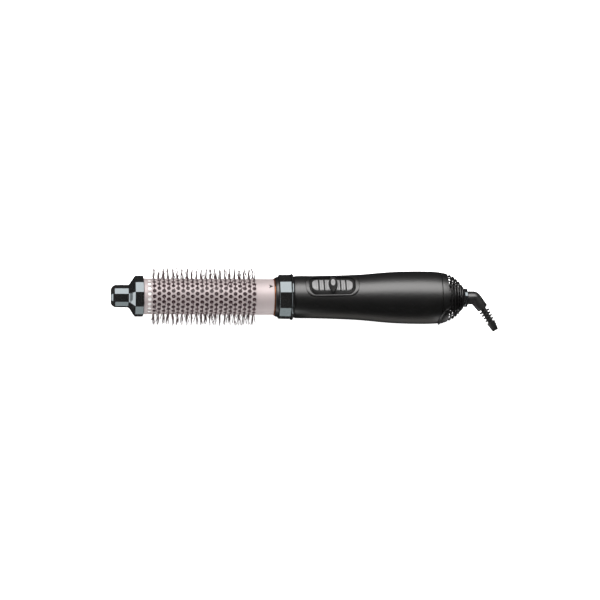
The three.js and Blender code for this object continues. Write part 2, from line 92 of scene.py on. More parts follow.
# ---- materials ----
class Finish:
    """A procedural material: a Principled shader with helpers for its noise-driven variation."""

    def __init__(self, name, color, roughness, metallic=0.0, ior=1.5):
        self.material = bpy.data.materials.new(name)
        self.material.use_nodes = True
        self.nodes = self.material.node_tree.nodes
        self.links = self.material.node_tree.links
        self.shader = self.nodes["Principled BSDF"]
        self.set("Base Color", (*color, 1))
        self.set("Roughness", roughness)
        self.set("Metallic", metallic)
        self.set("IOR", ior)
        self.place = self.nodes.new("ShaderNodeTexCoord").outputs["Object"]

    def set(self, socket, value):
        self.shader.inputs[socket].default_value = value

    def noise(self, scale, detail=3.0, stretch=(1, 1, 1)):
        """Noise over the object's own metres; scale is cells per metre."""
        mapping = self.nodes.new("ShaderNodeMapping")
        mapping.inputs["Scale"].default_value = stretch
        self.links.new(self.place, mapping.inputs["Vector"])
        noise = self.nodes.new("ShaderNodeTexNoise")
        noise.inputs["Scale"].default_value = scale
        noise.inputs["Detail"].default_value = detail
        self.links.new(mapping.outputs["Vector"], noise.inputs["Vector"])
        return noise.outputs["Fac"]

    def spread(self, source, low, high, start=0.3, end=0.7):
        """source from start to end, mapped to low to high."""
        node = self.nodes.new("ShaderNodeMapRange")
        for socket, value in (("From Min", start), ("From Max", end), ("To Min", low), ("To Max", high)):
            node.inputs[socket].default_value = value
        self.links.new(source, node.inputs["Value"])
        return node.outputs["Result"]

    def vary_roughness(self, scale, low, high, **noise):
        self.links.new(self.spread(self.noise(scale, **noise), low, high), self.shader.inputs["Roughness"])

    def vary_color(self, scale, first, second, start=0.3, end=0.7, **noise):
        mix = self.nodes.new("ShaderNodeMix")
        mix.data_type = "RGBA"
        mix.inputs["A"].default_value = (*first, 1)
        mix.inputs["B"].default_value = (*second, 1)
        self.links.new(self.spread(self.noise(scale, **noise), 0, 1, start, end), mix.inputs["Factor"])
        self.links.new(mix.outputs["Result"], self.shader.inputs["Base Color"])

    def bump(self, scale, strength, distance_mm, **noise):
        node = self.nodes.new("ShaderNodeBump")
        node.inputs["Strength"].default_value = strength
        node.inputs["Distance"].default_value = distance_mm * MM
        self.links.new(self.noise(scale, **noise), node.inputs["Height"])
        self.links.new(node.outputs["Normal"], self.shader.inputs["Normal"])


def gloss_black():
    finish = Finish("gloss_black", (0.012, 0.012, 0.012), 0.06, ior=2.0)
    finish.set("Specular Tint", (0.84, 0.95, 1.0, 1))
    finish.vary_roughness(350, 0.045, 0.085)
    finish.bump(500, 0.06, 0.02, detail=1.0)
    return finish.material


def soft_black():
    finish = Finish("soft_black", (0.003, 0.003, 0.003), 0.38, ior=1.75)
    finish.vary_color(90, (0.0025, 0.0025, 0.0025), (0.004, 0.0038, 0.0038))
    finish.vary_roughness(2600, 0.35, 0.41)
    finish.bump(5200, 0.22, 0.02, detail=2.0)
    return finish.material


def champagne_metal():
    finish = Finish("champagne_metal", (0.43, 0.373, 0.373), 0.55, metallic=0.27)
    finish.vary_color(60, (0.415, 0.36, 0.36), (0.45, 0.39, 0.39))
    finish.vary_roughness(3000, 0.50, 0.60)
    finish.bump(6500, 0.10, 0.012, detail=2.0)
    return finish.material


def nylon_bristle():
    finish = Finish("nylon_bristle", (0.060, 0.036, 0.038), 0.34, ior=1.53)
    finish.vary_color(700, (0.045, 0.026, 0.028), (0.085, 0.055, 0.058))
    finish.vary_roughness(4000, 0.28, 0.42)
    return finish.material


def copper_seal():
    finish = Finish("copper_seal", (0.32, 0.11, 0.045), 0.24, metallic=0.75)
    finish.vary_roughness(2500, 0.20, 0.32)
    return finish.material


def grey_plastic():
    finish = Finish("grey_plastic", (0.22, 0.22, 0.223), 0.42)
    finish.vary_color(250, (0.21, 0.21, 0.213), (0.24, 0.24, 0.243))
    finish.bump(4500, 0.12, 0.015)
    return finish.material


def inside_plastic():
    finish = Finish("inside_plastic", (0.011, 0.011, 0.011), 0.7, ior=1.35)
    finish.vary_color(300, (0.009, 0.009, 0.009), (0.014, 0.014, 0.014))
    finish.vary_roughness(1800, 0.62, 0.80)
    finish.bump(2600, 0.15, 0.02)
    return finish.material


def mica():
    finish = Finish("mica", (0.50, 0.42, 0.29), 0.45)
    finish.vary_color(420, (0.40, 0.33, 0.21), (0.60, 0.51, 0.37), detail=6.0)
    finish.bump(900, 0.3, 0.05, detail=6.0)
    return finish.material


def heater_wire():
    finish = Finish("heater_wire", (0.36, 0.35, 0.34), 0.38, metallic=1.0)
    finish.vary_color(500, (0.28, 0.24, 0.22), (0.44, 0.43, 0.42))
    return finish.material


def steel():
    finish = Finish("steel", (0.55, 0.56, 0.57), 0.28, metallic=1.0)
    finish.vary_roughness(900, 0.20, 0.38, stretch=(0.2, 1, 1))
    finish.bump(1500, 0.06, 0.02, stretch=(0.1, 1, 1))
    return finish.material


def circuit_board():
    finish = Finish("circuit_board", (0.035, 0.15, 0.06), 0.35)
    finish.vary_color(800, (0.025, 0.12, 0.045), (0.05, 0.20, 0.08), start=0.45, end=0.55)
    return finish.material


def white_plastic():
    finish = Finish("white_plastic", (0.88, 0.88, 0.87), 0.42)
    finish.vary_color(160, (0.86, 0.86, 0.85), (0.90, 0.90, 0.89))
    finish.bump(2400, 0.1, 0.02)
    return finish.material


def rubber():
    finish = Finish("rubber", (0.012, 0.012, 0.012), 0.34, ior=1.7)
    finish.vary_color(220, (0.010, 0.010, 0.010), (0.018, 0.0175, 0.017))
    finish.vary_roughness(1500, 0.28, 0.38)
    finish.bump(3200, 0.18, 0.02)
    return finish.material


def red_lead():
    finish = Finish("red_lead", (0.38, 0.02, 0.02), 0.38)
    finish.vary_roughness(2000, 0.32, 0.46)
    return finish.material


def filter_mesh():
    """Woven mesh: two crossed sets of waves make the dark openings between the wires."""
    finish = Finish("filter_mesh", (0.20, 0.20, 0.21), 0.4, metallic=0.8)
    heights = []
    for direction in ("Y", "Z"):
        wave = finish.nodes.new("ShaderNodeTexWave")
        wave.bands_direction = direction
        wave.inputs["Scale"].default_value = 350
        finish.links.new(finish.place, wave.inputs["Vector"])
        heights.append(wave.outputs["Fac"])
    highest = finish.nodes.new("ShaderNodeMath")
    highest.operation = "MAXIMUM"
    finish.links.new(heights[0], highest.inputs[0])
    finish.links.new(heights[1], highest.inputs[1])
    mix = finish.nodes.new("ShaderNodeMix")
    mix.data_type = "RGBA"
    mix.inputs["A"].default_value = (0.01, 0.01, 0.01, 1)
    mix.inputs["B"].default_value = (0.30, 0.30, 0.31, 1)
    finish.links.new(finish.spread(highest.outputs["Value"], 0, 1, 0.5, 0.8), mix.inputs["Factor"])
    finish.links.new(mix.outputs["Result"], finish.shader.inputs["Base Color"])
    return finish.material


FINISHES = {make.__name__: make() for make in (
    gloss_black, soft_black, champagne_metal, grey_plastic, inside_plastic, mica, heater_wire, steel,
    circuit_board, white_plastic, rubber, red_lead, filter_mesh, nylon_bristle, copper_seal)}


# ---- making pieces ----
def piece(name, shape, node, slot=None, stands_for=None, sharp=32):
    """A piece from (points, faces) in millimetres. It stands for its CAD node unless told otherwise."""
    return finish_piece(name, mesh_of(*shape), node, slot, stands_for, sharp)


def finish_piece(name, mesh, node, slot=None, stands_for=None, sharp=32):
    """Gives a mesh its finish and its body. Edges steeper than sharp degrees stay crisp."""
    slot = slot or SLOT_OF[node]
    mesh.name = name
    mesh.materials.clear()
    mesh.materials.append(FINISHES[slot])
    mesh.shade_smooth()
    mesh.set_sharp_from_angle(angle=math.radians(sharp))
    made = bpy.data.objects.new(name, mesh)
    bpy.context.scene.collection.objects.link(made)
    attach(made, BODY_OF[node])
    stands_for = [node] if stands_for is None else stands_for
    if stands_for:
        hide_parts(*stands_for)
    return made


def curve_between(before, corner, after, reach, steps):
    """Points of a smooth curve that cuts a corner, starting and ending reach away from it."""
    start = corner + (before - corner).normalized() * reach
    end = corner + (after - corner).normalized() * reach
    points = []
    for i in range(steps + 1):
        t = i / steps
        points.append(start * (1 - t) ** 2 + corner * 2 * t * (1 - t) + end * t ** 2)
    return points


def rounded(outline, closed, steps=4):
    """An outline of (x, r) or (x, r, rounding) with each corner that has a rounding made a curve.

    A point a little before and after each curve keeps the flat stretches flat when they are smooth shaded.
    """
    points = [Vector(p[:2]) for p in outline]
    made = []
    for i, corner in enumerate(outline):
        is_end = not closed and i in (0, len(outline) - 1)
        if len(corner) < 3 or is_end:
            made.append(points[i])
            continue
        before, after = points[i - 1], points[(i + 1) % len(points)]
        room = 0.48 * min((before - points[i]).length, (after - points[i]).length)
        reach = min(corner[2], room)
        curve = curve_between(before, points[i], after, reach, steps)
        if room - reach > SUPPORT:
            made.append(curve[0] + (before - points[i]).normalized() * SUPPORT)
        made += curve
        if room - reach > SUPPORT:
            made.append(curve[-1] + (after - points[i]).normalized() * SUPPORT)
    return made


def circle_section(sides=ROUND):
    return [(math.sin(2 * math.pi * i / sides), math.cos(2 * math.pi * i / sides)) for i in range(sides)]


def facet_section():
    """The ten-sided section of tip and collar, corner radius 1, with softly rounded corners."""
    rounding, steps, support = 0.014, 3, 0.008
    angle, corners = FACET_TURN + NARROW_FACET / 2, []
    for i in range(10):
        corners.append(Vector((math.sin(angle), math.cos(angle))))
        angle += WIDE_FACET if i % 2 == 0 else NARROW_FACET
    points = []
    for i, corner in enumerate(corners):
        before, after = corners[i - 1], corners[(i + 1) % 10]
        curve = curve_between(before, corner, after, rounding, steps)
        points.append(curve[0] + (before - corner).normalized() * support)
        points += curve
        points.append(curve[-1] + (after - corner).normalized() * support)
    return [tuple(p) for p in points]


def turned(profile, section=None):
    """Points and faces of a profile of (x, r) carried round X. A profile off the axis is a ring."""
    section = section or circle_section()
    ring = profile[0][1] > 1e-6
    verts, rows, faces = [], [], []
    for x, r in profile:
        if r < 1e-6:
            rows.append([len(verts)] * len(section))
            verts.append((x, 0, 0))
        else:
            rows.append(list(range(len(verts), len(verts) + len(section))))
            verts += [(x, r * y, r * z) for y, z in section]
    if ring:
        rows.append(rows[0])
    for low, high in zip(rows, rows[1:]):
        for i in range(len(section)):
            j = (i + 1) % len(section)
            corners = [low[i], low[j], high[j], high[i]]
            face = list(dict.fromkeys(corners))
            if len(face) > 2:
                faces.append(face)
    return verts, faces


def soft_turned(outline, section=None):
    """Points and faces of an outline of (x, r) or (x, r, rounding) points carried round X."""
    return turned([tuple(p) for p in rounded(outline, closed=outline[0][1] > 0)], section)


def turned_piece(node, outline, section=None, slot=None):
    """A smooth turned piece in place of a CAD node."""
    return piece(node + "_fine", soft_turned(outline, section), node, slot)


def smooth_through(points, count):
    """count points of a smooth curve through points of (x, r), evenly spaced in x."""
    xs = [p[0] for p in points]
    slopes = []
    for i in range(len(points)):
        a, b = points[max(i - 1, 0)], points[min(i + 1, len(points) - 1)]
        slopes.append((b[1] - a[1]) / (b[0] - a[0]))
    made = []
    for i in range(count):
        x = xs[0] + (xs[-1] - xs[0]) * i / (count - 1)
        k = max(j for j in range(len(xs) - 1) if xs[j] <= x + 1e-9)
        h = xs[k + 1] - xs[k]
        t = (x - xs[k]) / h
        value = ((2 * t ** 3 - 3 * t ** 2 + 1) * points[k][1] + (t ** 3 - 2 * t ** 2 + t) * h * slopes[k]
                 + (3 * t ** 2 - 2 * t ** 3) * points[k + 1][1] + (t ** 3 - t ** 2) * h * slopes[k + 1])
        made.append((x, value))
    return made


def mesh_of(verts, faces):
    mesh = bpy.data.meshes.new("part")
    mesh.from_pydata([Vector(v) * MM for v in verts], [], faces)
    edit = bmesh.new()
    edit.from_mesh(mesh)
    bmesh.ops.remove_doubles(edit, verts=edit.verts, dist=0.0005 * MM)
    bmesh.ops.recalc_face_normals(edit, faces=edit.faces)
    edit.to_mesh(mesh)
    edit.free()
    return mesh


def carve(mesh, tools):
    """mesh after each (operation, tool mesh) in turn: DIFFERENCE, INTERSECT or UNION."""
    blank = bpy.data.objects.new("blank", mesh)
    bpy.context.scene.collection.objects.link(blank)
    helpers = []
    for operation, tool in tools:
        helper = bpy.data.objects.new("helper", tool)
        bpy.context.scene.collection.objects.link(helper)
        helpers.append(helper)
        cut = blank.modifiers.new("cut", "BOOLEAN")
        cut.operation = operation
        cut.solver = "EXACT"
        cut.object = helper
    bpy.context.view_layer.update()
    made = bpy.data.meshes.new_from_object(blank.evaluated_get(bpy.context.evaluated_depsgraph_get()))
    for helper in [blank, *helpers]:
        bpy.data.objects.remove(helper)
    return made


def box_mesh(x, y, z):
    """A box from its (low, high) range along each axis."""
    verts = [(a, b, c) for a in x for b in y for c in z]
    faces = [(0, 1, 3, 2), (4, 6, 7, 5), (0, 4, 5, 1), (2, 3, 7, 6), (0, 2, 6, 4), (1, 5, 7, 3)]
    return mesh_of(verts, faces)


def slab_outline(half_x, half_y, corner, steps=8):
    """A rectangle with rounded corners, as points around it."""
    points = []
    for k, (sx, sy) in enumerate(((1, 1), (-1, 1), (-1, -1), (1, -1))):
        for i in range(steps + 1):
            angle = math.pi / 2 * (k + i / steps)
            points.append((sx * (half_x - corner) + corner * math.cos(angle),
                           sy * (half_y - corner) + corner * math.sin(angle)))
    return points


def upright_mesh(outline, low, high):
    """A prism that stands on Z: an outline of (x, y) points from low to high."""
    return mesh_of(*lofted([[(x, y, z) for x, y in outline] for z in (low, high)]))


def polar(x, r, degrees):
    """A point at radius r, turned degrees from +Z towards +Y."""
    angle = math.radians(degrees)
    return (x, r * math.sin(angle), r * math.cos(angle))


def joined(*parts):
    """Several (points, faces) as one."""
    verts, faces = [], []
    for part_verts, part_faces in parts:
        start = len(verts)
        verts += part_verts
        faces += [[start + i for i in face] for face in part_faces]
    return verts, faces


def lofted(rows, wrap=False, capped=True):
    """Points and faces through loops of equal length: joined last to first, capped at the ends, or open."""
    n = len(rows[0])
    verts = [point for row in rows for point in row]
    pairs = list(zip(range(len(rows) - 1), range(1, len(rows))))
    if wrap:
        pairs.append((len(rows) - 1, 0))
    faces = []
    for low, high in pairs:
        for i in range(n):
            j = (i + 1) % n
            faces.append([low * n + i, low * n + j, high * n + j, high * n + i])
    if capped and not wrap:
        faces.append(list(range(n)))
        faces.append([(len(rows) - 1) * n + i for i in range(n)])
    return verts, faces


def closed_grid(top, bottom):
    """A solid between two grids of points of the same shape, each a list of rows."""
    count, n = len(top), len(top[0])
    verts = [p for row in top for p in row] + [p for row in bottom for p in row]
    faces = []
    under = count * n
    for i in range(count - 1):
        for j in range(n - 1):
            quad = [i * n + j, i * n + j + 1, (i + 1) * n + j + 1, (i + 1) * n + j]
            faces += [quad, [under + k for k in reversed(quad)]]
    edge = list(range(n)) + [i * n + n - 1 for i in range(1, count)]
    edge += [(count - 1) * n + j for j in range(n - 2, -1, -1)] + [i * n for i in range(count - 2, 0, -1)]
    for a, b in zip(edge, edge[1:] + edge[:1]):
        faces.append([a, b, under + b, under + a])
    return verts, faces


def between_skins(rows, columns, skins, *given):
    """A solid between two skins: skins(*given, v, u) is a point of each, for v and u from 0 to 1."""
    top, bottom = [], []
    for j in range(rows + 1):
        pairs = [skins(*given, j / rows, i / columns) for i in range(columns + 1)]
        top.append([upper for upper, _ in pairs])
        bottom.append([lower for _, lower in pairs])
    return closed_grid(top, bottom)


# ---- brush head ----
HOLE_R = 1.72
HOLE_CHAMFER = 0.22
HOLE_PITCH = 4.18
HOLE_COLUMNS = 23
HOLES_ROUND = 20
FIRST_HOLES = 33.4
HOLE_STEP = 360 / HOLES_ROUND
SIDE_STEPS = 4  # points along each side of the patch round a hole
PAD_START = 36.1
PAD_END = 128.2
PAD_R = 14.8
PAD_THICKNESS = 1.6
STRIP_COUNT = 10
BRISTLE_TIP_R = 25.6
BRISTLE_THICKNESS = (  # (share of the length, radius)
    (0, 0.37), (0.15, 0.37), (0.28, 0.37), (0.4, 0.37), (0.52, 0.37), (0.64, 0.37),
    (0.76, 0.36), (0.87, 0.36), (0.95, 0.35), (0.99, 0.27), (1.0, 0.10))


def cool_tip():
    """The glossy cap on the nose, hollow behind, with a socket for its screw."""
    outline = [
        (0, 0), (0, 7.0, 0.6), (1.6, 9.06, 0.6), (3.4, 10.0, 0.8), (5.2, NOSE_R, 0.8),
        (NOSE_END - 0.4, NOSE_R, 0.5), (NOSE_END + 0.6, NOSE_R + 0.9, 0.4),
        (TIP_RING_START - 0.5, TIP_RING_R - 0.7, 0.3),
        (TIP_RING_START, TIP_RING_R, 0.3), (TIP_RING_END, TIP_RING_R, 0.3), (TIP_RING_END, 14.1),
        (22, 14.1), (17.5, 8.2), (6, 8.2), (6, 4), (21.4, 4), (21.4, 1.7), (10, 1.7), (10, 0),
    ]
    turned_piece("cool_tip", outline, section=facet_section())


def hole_cell(x, degrees):
    """One hole and the patch of barrel round it: from the outer skin, over the rim, to the inner skin."""
    bore_r = BARREL_R - BARREL_WALL
    square, rim, hole = [], [], []
    for k in range(4 * SIDE_STEPS):
        side, along = divmod(k, SIDE_STEPS)
        t = -1 + 2 * along / SIDE_STEPS
        u, v = ((t, -1), (1, t), (-t, 1), (-1, -t))[side]
        square.append((x + u * HOLE_PITCH / 2, degrees + v * HOLE_STEP / 2))
        turn = math.radians(-135 + 90 * k / SIDE_STEPS)
        for loop, r in ((rim, HOLE_R + HOLE_CHAMFER), (hole, HOLE_R)):
            loop.append((x + r * math.cos(turn), degrees + math.degrees(r * math.sin(turn) / BARREL_R)))
    levels = ((square, BARREL_R), (rim, BARREL_R), (hole, BARREL_R - 0.2), (hole, bore_r), (square, bore_r))
    return lofted([[polar(px, r, a) for px, a in loop] for loop, r in levels], capped=False)


def open_band(profile):
    """A profile carried round X, left open at its two ends, where it meets the hole cells."""
    steps = HOLES_ROUND * SIDE_STEPS
    return lofted([[polar(x, r, 360 * i / steps) for i in range(steps)] for x, r in profile], capped=False)


def barrel():
    """The perforated tube: a hole cell for every hole, with a plain band at each end."""
    bore_r = BARREL_R - BARREL_WALL
    edge = 0.25
    first = FIRST_HOLES - HOLE_PITCH / 2
    last = first + HOLE_COLUMNS * HOLE_PITCH
    cells = []
    for column in range(HOLE_COLUMNS):
        shift = HOLE_STEP / 2 if column % 2 == 0 else 0
        for k in range(HOLES_ROUND):
            cells.append(hole_cell(FIRST_HOLES + column * HOLE_PITCH, shift + k * HOLE_STEP))
    front = open_band([
        (first, bore_r), (BARREL_START, bore_r), (BARREL_START, BARREL_R - edge),
        (BARREL_START + edge, BARREL_R), (first, BARREL_R)])
    back = open_band([
        (last, BARREL_R), (BARREL_END - edge, BARREL_R), (BARREL_END, BARREL_R - edge),
        (BARREL_END, bore_r), (last, bore_r)])
    piece("barrel_fine", joined(*cells, front, back), "barrel", sharp=38)


def lock_arrow():
    """The dark arrow on the barrel that points at the lock collar."""
    x, half_x, half_s, notch = 140.3, 1.9, 2.0, 0.8
    outline = [(x + half_x, 0), (x - half_x, half_s), (x - half_x + notch, 0), (x - half_x, -half_s)]
    rows = []
    for r in (BARREL_R - 0.1, BARREL_R + 0.05):
        rows.append([polar(px, r, math.degrees(s / BARREL_R)) for px, s in outline])
    piece("lock_arrow", lofted(rows), "barrel", slot="inside_plastic", stands_for=[])


def bristle(x, degrees, chance):
    """A tapered nylon pin, a little bent, from the pad out through its hole."""
    tip_r = BRISTLE_TIP_R + chance.uniform(-0.9, 0.3)
    foot_r = PAD_R - 0.3
    lean, sway = chance.gauss(0, 0.8), chance.gauss(0, 0.8)
    wave, phase = chance.uniform(0.1, 0.55), chance.uniform(0, 2 * math.pi)
    sides = 7
    rows = []
    for t, thick in BRISTLE_THICKNESS:
        r = foot_r + (tip_r - foot_r) * t
        free = max(0, t - 0.12)
        dx = free * (lean + wave * math.sin(phase + 9 * t))
        ds = free * (sway + wave * math.cos(phase + 8 * t))
        row = []
        for k in range(sides):
            a = 2 * math.pi * k / sides
            offset = math.degrees((ds + thick * math.sin(a)) / r)
            row.append(polar(x + dx + thick * math.cos(a), r, degrees + offset))
        rows.append(row)
    return lofted(rows)


def bristle_strip(index):
    """A curved pad inside the barrel. Two lines of bristles pass the even columns of holes, two the odd."""
    chance = random.Random(100 + index)
    strip_step = 360 / STRIP_COUNT
    middle = strip_step * index + HOLE_STEP
    angles = [middle - 12.6 + 34.2 * k / 10 for k in range(11)]
    soft = 0.3
    ends = ((PAD_START, soft), (PAD_START + soft, 0), (PAD_END - soft, 0), (PAD_END, soft))
    top = [[polar(x, PAD_R - drop, a) for a in angles] for x, drop in ends]
    bottom = [[polar(x, PAD_R - PAD_THICKNESS, a) for a in angles] for x, drop in ends]
    parts = [closed_grid(top, bottom)]
    for column in range(1, HOLE_COLUMNS):
        for offset in ((-HOLE_STEP / 2, HOLE_STEP / 2) if column % 2 == 0 else (0, HOLE_STEP)):
            parts.append(bristle(FIRST_HOLES + column * HOLE_PITCH, middle + offset, chance))
    node = f"bristle_strip_{index + 1:02d}"
    piece(node + "_fine", joined(*parts), node, sharp=60)


def head_inside():
    """Plug, screw, socket and seal: smooth turned pieces at the barrel's two ends."""
    turned_piece("barrel_end_plug", [
        (22.5, 1.9), (22.5, 12.6, 0.4), (28.6, 12.6), (28.6, 15.0, 0.2), (35.8, 15.0, 0.2), (35.8, 12.6),
        (30, 12.6), (30, 1.9)])
    turned_piece("tip_screw", [
        (12.9, 0), (13.4, 0.7), (13.8, 1.3, 0.2), (30.3, 1.3), (30.3, 3.2, 0.3), (31.6, 3.2, 0.8),
        (32.4, 2.2, 0.5), (32.4, 1.2), (31.4, 0.9), (31.4, 0)])
    turned_piece("head_socket", [
        (128.5, 13.2, 0.3), (128.5, 14.5, 0.3), (144.4, 14.5), (144.4, 15.2, 0.2), (157.2, 15.2, 0.6),
        (157.2, 13.2, 0.4)])
    turned_piece("seal_ring", [
        (143.5, 14.8, 0.1), (143.5, 16.45, 0.25), (144.1, 16.45, 0.25), (144.1, 14.8, 0.1)])


# ---- lock collar ----
def lock_collar():
    """Three steps: a soft front rim, the ten-sided ring and the round lip."""
    turned_piece("collar_rim", [
        (COLLAR_START, 15.8), (COLLAR_START, 16.95, 0.35), (145.6, 17.55, 0.8), (147.2, 17.8, 0.3),
        (147.2, 15.8)], slot="soft_black")
    turned_piece("lock_collar", [
        (COLLAR_FACET_START, COLLAR_BORE), (COLLAR_FACET_START, 19.1, 0.2), (148.0, COLLAR_R, 0.3),
        (COLLAR_FACET_END, COLLAR_R + 0.25, 0.3), (COLLAR_FACET_END, COLLAR_BORE),
    ], section=facet_section())
    turned_piece("collar_lip", [
        (158.3, COLLAR_BORE), (158.3, 19.9, 0.25), (159.0, 20.4, 0.5), (159.8, 20.4, 0.5),
        (COLLAR_LIP_END, 19.7, 0.4), (COLLAR_LIP_END, COLLAR_BORE)])


# ---- handle casing ----
SHELL_SIDES = 160
BEZEL_HALF = (23.6, 10.7)
BEZEL_CORNER = 8.0
SCREW_X = 234
SCREW_Y = 15
SCREW_HEAD_Z = -10.6
SCREW_SIDES = 40
FAR = 60  # past everything


def handle_r(x):
    """Outer radius of the handle at x."""
    for (xa, ra), (xb, rb) in zip(HANDLE_CURVE, HANDLE_CURVE[1:]):
        if xa <= x <= xb:
            return ra + (rb - ra) * (x - xa) / (xb - xa)
    return HANDLE_CURVE[-1][1]


def round_mesh(side, r, low, high):
    """An upright round bar where a casing screw is."""
    circle = [(SCREW_X + r * px, side * SCREW_Y + r * py) for px, py in circle_section(SCREW_SIDES)]
    return upright_mesh(circle, low, high)


def tongue_notch(side):
    """A curved notch in the handle's rear edge for one of the inlet cap's tongues."""
    steps, clearance = 40, 0.25
    rows = []
    for j in range(steps + 1):
        share = 1.02 * (2 * j / steps - 1)
        angle = side * (TONGUE_MIDDLE + share * TONGUE_HALF)
        first = tongue_front(share) - clearance
        rows.append([polar(x, r, angle) for x, r in ((first, 15), (320, 15), (320, 40), (first, 40))])
    return mesh_of(*lofted(rows))


def casing():
    """The whole hollow casing, before it is parted."""
    first_r, last_r = HANDLE_CURVE[0][1], HANDLE_CURVE[-1][1]
    outer = [(HANDLE_START, first_r - 0.35), (HANDLE_START + 0.12, first_r - 0.12), *HANDLE_CURVE[1:-1],
             (HANDLE_END - 0.15, last_r - 0.05), (HANDLE_END, last_r - 0.3)]
    inner = [(x, r - HANDLE_WALL) for x, r in reversed(HANDLE_CURVE[::4])]
    return mesh_of(*turned(outer + inner, circle_section(SHELL_SIDES)))


def handle_shells():
    """Upper and lower casing, parted level with the axis, with screw posts between them."""
    whole = casing()
    filled = turned([(HANDLE_START, 0), *HANDLE_CURVE, (HANDLE_END, 0)])
    opening = [(SWITCH_X + dx, y) for dx, y in
               slab_outline(BEZEL_HALF[0] + 0.12, BEZEL_HALF[1] + 0.12, BEZEL_CORNER)]
    seam = 0.05
    for name, z_range in (("upper", (seam, FAR)), ("lower", (-FAR, -seam))):
        tools = []
        for side in (1, -1):
            post = carve(round_mesh(side, 4, -18, 18), [("INTERSECT", mesh_of(*filled))])
            tools.append(("UNION", post))
        for side in (1, -1):
            tools.append(("DIFFERENCE", round_mesh(side, 1.6, -12, 8)))
            tools.append(("DIFFERENCE", round_mesh(side, 2.9, -FAR, -9)))
            tools.append(("DIFFERENCE", tongue_notch(side)))
        if name == "upper":
            tools.append(("DIFFERENCE", upright_mesh(opening, 10, FAR)))
        tools.append(("INTERSECT", box_mesh((100, 350), (-FAR, FAR), z_range)))
        node = f"handle_{name}_shell"
        finish_piece(node + "_fine", carve(whole.copy(), tools), node, sharp=30)


def handle_screws():
    """Cross-head screws, heads down in their counterbores."""
    for index, side in enumerate((1, -1)):
        x, y = SCREW_X, side * SCREW_Y
        verts, faces = soft_turned([(0, 0), (0, 1.9, 0.3), (0.5, 2.5, 0.3), (1.5, 2.5, 0.2), (1.5, 1.2),
                                    (16.2, 1.2), (17, 0.4), (17, 0)], circle_section(SCREW_SIDES))
        upright = [(x + pz, y + py, SCREW_HEAD_Z + px) for px, py, pz in verts]
        slots = []
        for long_x, long_y in ((1.4, 0.3), (0.3, 1.4)):
            slot = box_mesh((x - long_x, x + long_x), (y - long_y, y + long_y), (-12, SCREW_HEAD_Z + 0.8))
            slots.append(("DIFFERENCE", slot))
        node = f"handle_screw_{index + 1}"
        finish_piece(node + "_fine", carve(mesh_of(upright, faces), slots), node)


# ---- switch ----
POCKET_HALF = (20.2, 9.35)
POCKET_CORNER = 6.0
SLOT_HALF = (4.6, 2.2)
SLOT_CORNER = 2.0
POCKET_FLOOR = 16.6
PLATE_HALF = (18.0, 5.5)
PLATE_CORNER = 4.6
PLATE_TOP = 19.2
PLATE_CROWN_R = 21
GROOVES = (  # (distance from the middle, half width, depth)
    (7.2, 0.72, 1.7), (12.0, 0.72, 1.7), (5.3, 0.28, 0.35), (9.7, 0.28, 0.35), (14.4, 0.28, 0.3))
RIDGE_X = SWITCH_X + 0.5
RIDGE_HALF = (3.95, 8.6)
RIDGE_TOP = 21.4


def crown(x, y, raised=0.0):
    """Height of the handle's skin, raised a little, at a place on its top."""
    return math.sqrt((handle_r(x) + raised) ** 2 - y * y)


def rim_top(x, y):
    """Top of the bezel's rim, which stands a little proud of the handle."""
    return crown(x, y, raised=0.3)


def pocket_floor(x, y):
    """Level in the middle, and lower near the sides, where the handle's skin is lower."""
    return min(POCKET_FLOOR, crown(x, y) - 2.0)


def plate_skin(_, y):
    """Top of the crowned plate, before its grooves. It is the same at any x."""
    return PLATE_TOP - PLATE_CROWN_R + math.sqrt(PLATE_CROWN_R ** 2 - y * y)


def switch_loop(half, grow_x, grow_y, corner, surface, lift):
    """A rounded rectangle round the switch's middle, each of its points lifted off a surface(x, y)."""
    outline = slab_outline(half[0] + grow_x, half[1] + grow_y, corner, steps=12)
    return [(SWITCH_X + dx, y, surface(SWITCH_X + dx, y) + lift) for dx, y in outline]


def switch_bezel():
    """The raised rim round the switch."""
    levels = [
        (BEZEL_HALF, 0, 0, BEZEL_CORNER, pocket_floor, -1.0),
        (BEZEL_HALF, 0, 0, BEZEL_CORNER, rim_top, -0.45),
        (BEZEL_HALF, -0.12, -0.12, BEZEL_CORNER - 0.12, rim_top, -0.12),
        (BEZEL_HALF, -0.4, -0.4, BEZEL_CORNER - 0.4, rim_top, 0),
        (POCKET_HALF, 0.5, 0.5, POCKET_CORNER + 0.5, rim_top, 0),
        (POCKET_HALF, 0.15, 0.15, POCKET_CORNER + 0.15, rim_top, -0.12),
        (POCKET_HALF, 0, 0, POCKET_CORNER, rim_top, -0.5),
        (POCKET_HALF, 0.05, 0.05, POCKET_CORNER, pocket_floor, -0.6),
    ]
    shape = lofted([switch_loop(*level) for level in levels], wrap=True)
    piece("switch_bezel_fine", shape, "switch_bezel", sharp=40)


def switch_pocket_painted_shade():
    """The pocket, with the slot that the slider's post goes through. Its dull near-black finish is painted
    shade, standing in for a deeper pocket.
    """
    levels = [
        (POCKET_HALF, 0, 0, POCKET_CORNER, rim_top, -0.55),
        (POCKET_HALF, 0, 0, POCKET_CORNER, pocket_floor, 0.3),
        (POCKET_HALF, -0.3, -0.3, POCKET_CORNER - 0.3, pocket_floor, 0),
        (SLOT_HALF, 0, 0, SLOT_CORNER, pocket_floor, 0),
        (SLOT_HALF, 0, 0, SLOT_CORNER, pocket_floor, -0.6),
        (POCKET_HALF, 0.04, 0.04, POCKET_CORNER, pocket_floor, -0.6),
    ]
    shape = lofted([switch_loop(*level) for level in levels], wrap=True)
    # the dull inside finish paints the shade of the pocket
    piece("switch_pocket_painted_shade", shape, "switch_bezel", slot="inside_plastic", stands_for=[], sharp=40)


